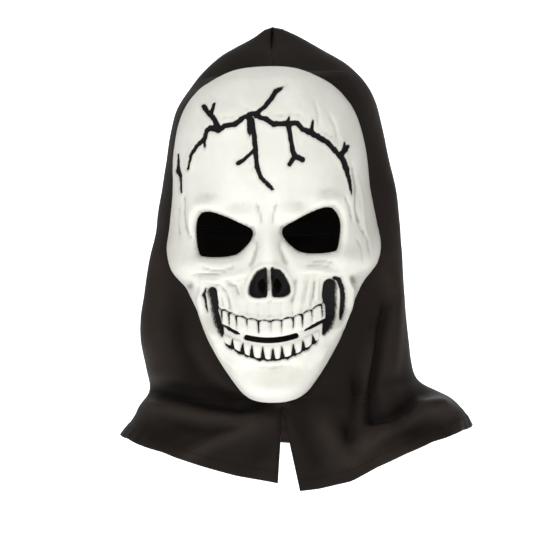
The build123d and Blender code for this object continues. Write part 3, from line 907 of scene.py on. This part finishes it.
def panel_grid(side):
    """One panel's outer face: points, normals, height above the hem, and how raised the cloth is there, which
    the cloth's colour turns into painted highlight and painted shade.
    """
    fronts = hood_front_table(side)
    edge = hood_edge(side)
    length = run_along(edge)
    rows, cols = 190, 120
    at = np.linspace(0, length[-1], rows)
    start = np.stack([np.interp(at, length, edge[:, k]) for k in range(3)], axis=1)
    z0 = start[:, 2]
    right, left, _, _ = between(HOOD_STATIONS, z0)
    half = half_hood(side, right, left)
    # the turn at which each row starts, at the front edge
    first = -np.arccos(np.clip((start[:, 0] - SEAM_X) * side / np.maximum(half, 0.5), 0, 1))
    u = np.linspace(0, 1, cols)
    turn = first[:, None] + (math.pi / 2 - first[:, None]) * u[None, :]
    hem = np.interp(np.degrees(turn), [a for a, _ in HEM[side]], [h for _, h in HEM[side]])
    # rows below the chin fall with the hem
    falls = smooth(-112, z0[-1], z0)[:, None] ** 1.3
    z = z0[:, None] + falls * (hem - z0[-1])
    points = bell(turn, z, side, fronts)
    # the front edge starts from the rim and eases into the bell, averaged over rows away from the rim
    shift = start - points[:, 0]
    reach = 12
    wide = np.pad(shift, ((reach, reach), (0, 0)), mode="edge")
    calmer = sum(wide[k:k + rows] for k in range(2 * reach + 1)) / (2 * reach + 1)
    past = turn - first[:, None]
    near, far = (np.exp(-past / fade)[:, :, None] for fade in (0.05, 0.22))
    points = points + shift[:, None, :] * near + calmer[:, None, :] * (far - near)
    outward = points - np.array([SEAM_X, 5, 0]) - points * np.array([0, 0, 1])
    normal = grid_normals_like(points, outward)
    x, zz = seen_from_front(points)
    front = smooth(0.35, -0.35, turn)
    free = smooth(0, 0.16, past)
    free = np.maximum(free, smooth(-134, -146, z0)[:, None] * 0.85)
    height = sum(ridge(x, zz, line, width, rise) for line, width, rise in CLOTH_FOLDS[side]) * front * free
    # slow waves round the back and a slight unevenness everywhere
    low = smooth(-60, -170, zz)
    waves = 3.6 * np.sin(turn * 7 + zz * 0.012) * low + 1.4 * np.sin(turn * 11 + 1 + zz * 0.02)
    height += smooth(0.1, 0.8, turn) * waves
    height += (1.5 * speckle(points, 55, 5 + side) + 0.5 * speckle(points, 20, 11 - side)) * free
    # calm at the crown and at the back seam, where the cloth dips to the stitches
    calm = smooth(168, 138, points[:, :, 2]) * smooth(1.57, 1.30, turn)
    # how raised the cloth is, which the hood's colour turns into a painted highlight on ridges and painted
    # shade in hollows
    fold_highlight_and_shade = smooth(-5, 6, height)
    height *= calm
    height -= 1.6 * smooth(1.49, 1.57, turn)
    height -= 1.4 * smooth(118, 134, zz) * smooth(-1.40, -1.57, turn)
    # puckers where the seam thread draws the cloth together
    beside = smooth(1.30, 1.50, turn) * smooth(1.57, 1.52, turn)
    height += 0.35 * np.sin(points[:, :, 2] * 0.55 + 2 * side) * beside
    above = points[:, :, 2] - hem
    # the turned-up hem is thicker and slightly wavy
    waves = 0.3 * np.sin(turn * 47) * smooth(12, 6, above) * smooth(-1.5, -1.1, turn)
    height += smooth(-146, -156, z0)[:, None] * (0.32 * smooth(HEM_WIDTH + 2, HEM_WIDTH, above) + waves)
    points = points + normal * height[:, :, None]
    pull = smooth(1.52, 1.5708, turn)
    points[:, :, 0] = points[:, :, 0] * (1 - pull) + (SEAM_X - side * SEAM_LAP) * pull
    points[0, :, 0] = SEAM_X - side * SEAM_LAP
    return points, grid_normals_like(points, normal), above, fold_highlight_and_shade


def hem_place(points, normal, above, rise):
    """Places on the cloth a given height above the hem, one for each column, just off the surface."""
    out = []
    for j in range(points.shape[1]):
        column = above[:, j]
        i = int(np.argmax(column < rise))
        if i == 0:
            continue
        t = (column[i - 1] - rise) / max(column[i - 1] - column[i], 1e-6)
        place = points[i - 1, j] * (1 - t) + points[i, j] * t
        out.append(place + normal[i, j] * 0.12)
    return np.array(out)


def stitches(name, path, pitch, length, radius):
    """A broken line of short round threads along a path in mm."""
    run = run_along(path)
    verts, faces = [], []
    for start in np.arange(pitch / 2, run[-1] - length, pitch):
        ends = [np.array([np.interp(d, run, path[:, k]) for k in range(3)]) for d in (start, start + length)]
        thread(verts, faces, *ends, radius)
    return made(name, verts, faces)


def thread(verts, faces, start, end, radius):
    """Adds one short six-sided thread with rounded tips."""
    along = (end - start) / np.linalg.norm(end - start)
    side = np.cross(along, [0.3, 0.2, 0.93])
    side /= np.linalg.norm(side)
    other = np.cross(along, side)
    rings = ((0, 0.35), (0.18, 1), (0.82, 1), (1, 0.35))
    first = len(verts)
    for share, size in rings:
        middle = start + (end - start) * share
        for k in range(6):
            angle = k * math.pi / 3
            verts.append(middle + (side * math.cos(angle) + other * math.sin(angle)) * radius * size)
    for ring in range(3):
        for k in range(6):
            low, high = first + ring * 6, first + ring * 6 + 6
            faces.append((low + k, low + (k + 1) % 6, high + (k + 1) % 6, high + k))
    faces.append(tuple(first + k for k in range(5, -1, -1)))
    faces.append(tuple(first + 18 + k for k in range(6)))


def blend_corner(piece, side):
    """Bakes the piece's placement into its points; the direction in which the lower front corner falls is
    worked out but not used.
    """
    fall = Vector((-0.381, -0.20, -0.924)) if side > 0 else Vector((0.419, -0.20, -0.908))
    fall.normalize()
    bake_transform(piece)


def build_panel(side, cloth, thread_look):
    """One half of the hood with its hem stitches; side is 1 on the wearer's left and -1 on the right."""
    name = "left" if side > 0 else "right"
    points, normal, above, fold_highlight_and_shade = panel_grid(side)
    # the cloth keeps the painted fold highlight and shade as a field at its points
    panel = sheet_mesh(f"hood_{name}_cloth", points, points - normal * CLOTH, fields={"fold_highlight_and_shade": fold_highlight_and_shade})
    dress(panel, cloth)
    blend_corner(panel, side)
    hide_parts(f"hood_{name}_panel", f"hood_{name}_front_corner")
    line = stitches(f"hem_stitches_{name}", hem_place(points, normal, above, HEM_WIDTH), 4.2, 2.9, 0.24)
    dress(line, thread_look)
    blend_corner(line, side)


# ---- small sewn and moulded pieces
def build_strap(look):
    """Ribbed elastic from stud to stud, behind the head."""
    turns = np.linspace(0, math.pi, 90)
    # y of its ends at the studs, y where its curve begins, half its width, and how far back it goes
    tip, bend, half, far = -44, -24, 70, 110
    straight = np.linspace(tip, bend, 8)[:-1]
    x = np.concatenate([np.full(7, half), half * np.cos(turns), np.full(7, -half)])
    y = np.concatenate([straight, bend + far * np.sin(turns), straight[::-1]])
    path = np.stack([x, y], axis=1)
    along = np.gradient(path, axis=0)
    along /= np.linalg.norm(along, axis=1, keepdims=True)
    out = np.stack([along[:, 1], -along[:, 0]], axis=1)
    out *= np.sign((out * (path - np.array([0, 20]))).sum(1))[:, None]
    across = np.linspace(-1, 1, 43)[None, :]
    run = run_along(path)[:, None]
    # seven ribs along the strap and fine cross threads, both fading at its edges
    rib = 0.13 * np.cos(across * math.pi * 7) + 0.05 * np.sin(run / 1.1)
    rib = rib * (1 - np.abs(across) ** 8)
    z = 6 + 6 * across + 0.12 * np.sin(run / 9)
    faces = []
    for inset in (0.15 - rib, 1.25 + rib):
        place = path[:, None, :] - out[:, None, :] * inset[:, :, None]
        faces.append(np.concatenate([place, z[:, :, None]], axis=2))
    strap = sheet_mesh("elastic_strap_ribbed", *faces)
    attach(strap, "strap")
    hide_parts("elastic_strap")
    dress(strap, look)


def seam_line(inset):
    """The crown and back seam in y and z, drawn in by some mm, with its directions along and inward."""
    z = np.linspace(-178, 162, 114)
    back = np.stack([between(HOOD_STATIONS, z)[3], z], axis=1)
    top = np.array([[-13, 167.5]])
    zf = np.linspace(162, 120, 24)
    front = np.stack([between(HOOD_FRONT, zf)[0], zf], axis=1)
    line = np.concatenate([back, top, front])
    run = np.gradient(line, axis=0)
    run /= np.linalg.norm(run, axis=1, keepdims=True)
    inward = np.stack([-run[:, 1], run[:, 0]], axis=1)
    deeper = inset + 1.8 * smooth(120, 152, line[:, 1])
    return line + inward * deeper[:, None], run, inward


def build_seam_allowance(cloth, thread_look):
    """Two turned-in layers of cloth with an overlocked edge, hanging inside the seam."""
    line, run, inward = seam_line(2.2)
    # in mm: how wide the layers are, and where the overlock's threads end and begin
    width, edge, root_at = 7.4, 7.7, 4.6
    depth = np.linspace(0, width, 7)
    steps = np.arange(len(line))
    for layer in (-1, 1):
        wave = 0.28 * np.sin(steps * 0.9 + layer) + 0.2 * np.sin(steps * 0.37)
        place = line[:, None, :] + inward[:, None, :] * depth[None, :, None]
        x = SEAM_X + layer * 0.42 + (layer * 0.22 + wave[:, None] * 0.35) * (depth[None, :] / width) ** 2
        outer = np.concatenate([x[:, :, None], place], axis=2)
        inner = outer - np.array([layer * 0.5, 0, 0])
        name = "seam_allowance_right" if layer < 0 else "seam_allowance_left"
        strip = sheet_mesh(name, outer, inner)
        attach(strip, "mask")
        dress(strip, cloth)
    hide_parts("crown_seam_allowance")
    verts, faces = [], []
    for k in range(len(line) - 1):
        for part in (0, 0.5):
            spot = line[k] * (1 - part) + line[k + 1] * part
            tip = spot + inward[k] * edge
            root = spot + inward[k] * root_at + run[k] * 1.2
            for layer in (-1, 1):
                start = np.array([SEAM_X + layer * 0.85, root[0], root[1]])
                end = np.array([SEAM_X + layer * 0.2, tip[0], tip[1]])
                thread(verts, faces, start, end, 0.2)
    overlock = made("seam_overlock", verts, faces)
    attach(overlock, "mask")
    dress(overlock, thread_look)


def build_label(look):
    """A blank woven label, its upper edge caught in the back seam."""
    wide, tall = 23.6, 33.6
    u, v = np.meshgrid(np.linspace(0, 1, 22), np.linspace(0, 1, 26), indexing="ij")
    x = SEAM_X + 1.5 + 2.4 * (1 - u) ** 2 * (0.6 + 0.4 * np.sin(v * 3)) + 0.25 * np.sin(v * 9 + u * 4)
    y = 73.2 + wide * u
    z = -133.2 - tall * v + 0.5 * np.sin(u * 3)
    outer = np.stack([x, y, z], axis=2)
    label = sheet_mesh("care_label_woven", outer, outer - np.array([0.35, 0, 0]))
    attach(label, "mask")
    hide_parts("care_label")
    dress(label, look)


def build_tack(look):
    """Close stitches that end the seam at the top of the slit."""
    verts, faces = [], []
    z, half, radius = -138, 5.6, 0.36
    y = between(HOOD_FRONT, z)[0] - 1.6
    for k in range(20):
        x = SEAM_X - half + 2 * half * k / 19
        tilt = 0.35 if k % 2 else -0.35
        rise = 1.15 + 0.12 * math.sin(k * 2.1)
        start, end = np.array([x - tilt, y, z - rise]), np.array([x + tilt, y, z + rise])
        thread(verts, faces, start, end, radius)
    for rise in (-0.8, 0, 0.8):
        start, end = (np.array([SEAM_X + way * 5.8, y + 0.15, z + rise]) for way in (-1, 1))
        thread(verts, faces, start, end, radius)
    tack = made("chin_tack_stitches", verts, faces)
    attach(tack, "mask")
    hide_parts("chin_tack")
    dress(tack, look)


# ---- stage, light and camera
def build_stage():
    """White paper that curves up behind the object, in metres."""
    size, low = 6, cad_box[0][2] - 0.05
    turns = [math.pi / 2 * k / 12 for k in range(13)]
    bend = [(2 + math.sin(turn), low + 1 - math.cos(turn)) for turn in turns]
    profile = [(-size, low)] + bend + [(3, size)]
    verts, faces = [], []
    for k, (y, z) in enumerate(profile):
        verts += [(-size, y, z), (size, y, z)]
        if k:
            faces.append((2 * k - 2, 2 * k - 1, 2 * k + 1, 2 * k))
    floor = made("studio_floor", verts, faces, 1)
    look = Look("studio_paper")
    paper = look.texture(NOISE, 3, Detail=2)
    split = look.nodes.new("ShaderNodeSeparateXYZ")
    look.put(split.inputs[0], look.nodes.new("ShaderNodeTexCoord").outputs["Object"])
    aside = look.maths("ABSOLUTE", split.outputs[0])
    # the paper glows in the strip behind the object, and only faintly at the sides
    look.shader(
        Base_Color=look.mixed(paper, (0.93, 0.93, 0.93, 1), (0.97, 0.97, 0.97, 1)),
        Roughness=0.9,
        Emission_Color=(1, 1, 1, 1),
        Emission_Strength=look.span(aside, 0.6, 1, 1, 0.15),
    )
    floor.data.materials.append(look.material)


def area_light(name, place, size, power):
    """A round white lamp that points at the middle of the face."""
    light = bpy.data.lights.new(name, "AREA")
    light.shape = "DISK"
    light.size = size
    light.energy = power
    obj = placed(name, light)
    obj.location = place
    obj.rotation_euler = (-Vector(place)).to_track_quat("-Z", "Y").to_euler()


def build_camera():
    """Level camera to the wearer's left, with the head tilted 2.1 degrees in the frame."""
    azimuth, roll = math.radians(CAMERA_TURN), math.radians(2.1)
    forward = Vector((-math.sin(azimuth), math.cos(azimuth), 0))
    level = Vector((math.cos(azimuth), math.sin(azimuth), 0))
    right = level * math.cos(roll) - Vector((0, 0, 1)) * math.sin(roll)
    up = Vector((0, 0, 1)) * math.cos(roll) + level * math.sin(roll)
    bridge = Vector((0, BRIDGE_Y * MM, 0))
    # the middle of the picture lies this far to the right of the bridge and below it, in metres
    aside, below = 0.0099, 0.0371
    place = bridge + right * aside - up * below - forward * CAMERA_DISTANCE * MM
    camera = bpy.data.cameras.new("camera")
    camera.lens = 171.4
    camera.sensor_width = 36
    obj = placed("camera", camera)
    obj.matrix_world = Matrix.Translation(place) @ Matrix((right, up, -forward)).transposed().to_4x4()
    bpy.context.scene.camera = obj


def build_world():
    world = bpy.data.worlds.new("studio")
    bpy.context.scene.world = world
    world.use_nodes = True
    background = world.node_tree.nodes["Background"]
    background.inputs["Color"].default_value = (1, 1, 1, 1)
    background.inputs["Strength"].default_value = 0.14


bpy.context.scene.view_settings.view_transform = "Standard"
build_camera()
build_world()
build_stage()
area_light("key", (-1.25, -1.75, 1.15), 1.1, 14)
area_light("front", (0.45, -2.5, 1), 1.3, 16)
area_light("top", (0.2, -0.5, 2), 1, 9)

build_shell()
# the hood's lighter and darker colours are its painted fold highlight and painted fold shade, mixed with slow
# random changes of colour
hood_cloth = cloth_material(
    "hood_cloth_knit", (0.028, 0.0210, 0.0175, 1), (0.0075, 0.0057, 0.0048, 1), fold_highlight_and_shade=True
)
inside_cloth = cloth_material("hood_cloth_inside", (0.018, 0.014, 0.012, 1), (0.010, 0.0078, 0.0068, 1))
thread_look = cloth_material(
    "sewing_thread", (0.012, 0.0095, 0.0082, 1), (0.007, 0.0055, 0.0048, 1), thread=0.0003
)
for side in (1, -1):
    build_panel(side, hood_cloth, thread_look)
build_strap(cloth_material(
    "ribbed_elastic", (0.015, 0.015, 0.016, 1), (0.010, 0.010, 0.010, 1), thread=0.0009
))
build_seam_allowance(inside_cloth, thread_look)
build_label(cloth_material("label_satin", (0.62, 0.62, 0.60, 1), (0.55, 0.55, 0.53, 1), thread=0.0003))
build_tack(thread_look)

stud_white = plastic_material("stud_moulding", (0.72, 0.70, 0.65, 1), 0.35)
cap_black = plastic_material("cap_moulding", (0.02, 0.02, 0.02, 1), 0.35)
for name in ("left", "right"):
    for node, material in ((f"strap_stud_{name}", stud_white), (f"stud_cap_{name}", cap_black)):
        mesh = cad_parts[node].data
        mesh.materials.clear()
        mesh.materials.append(material)
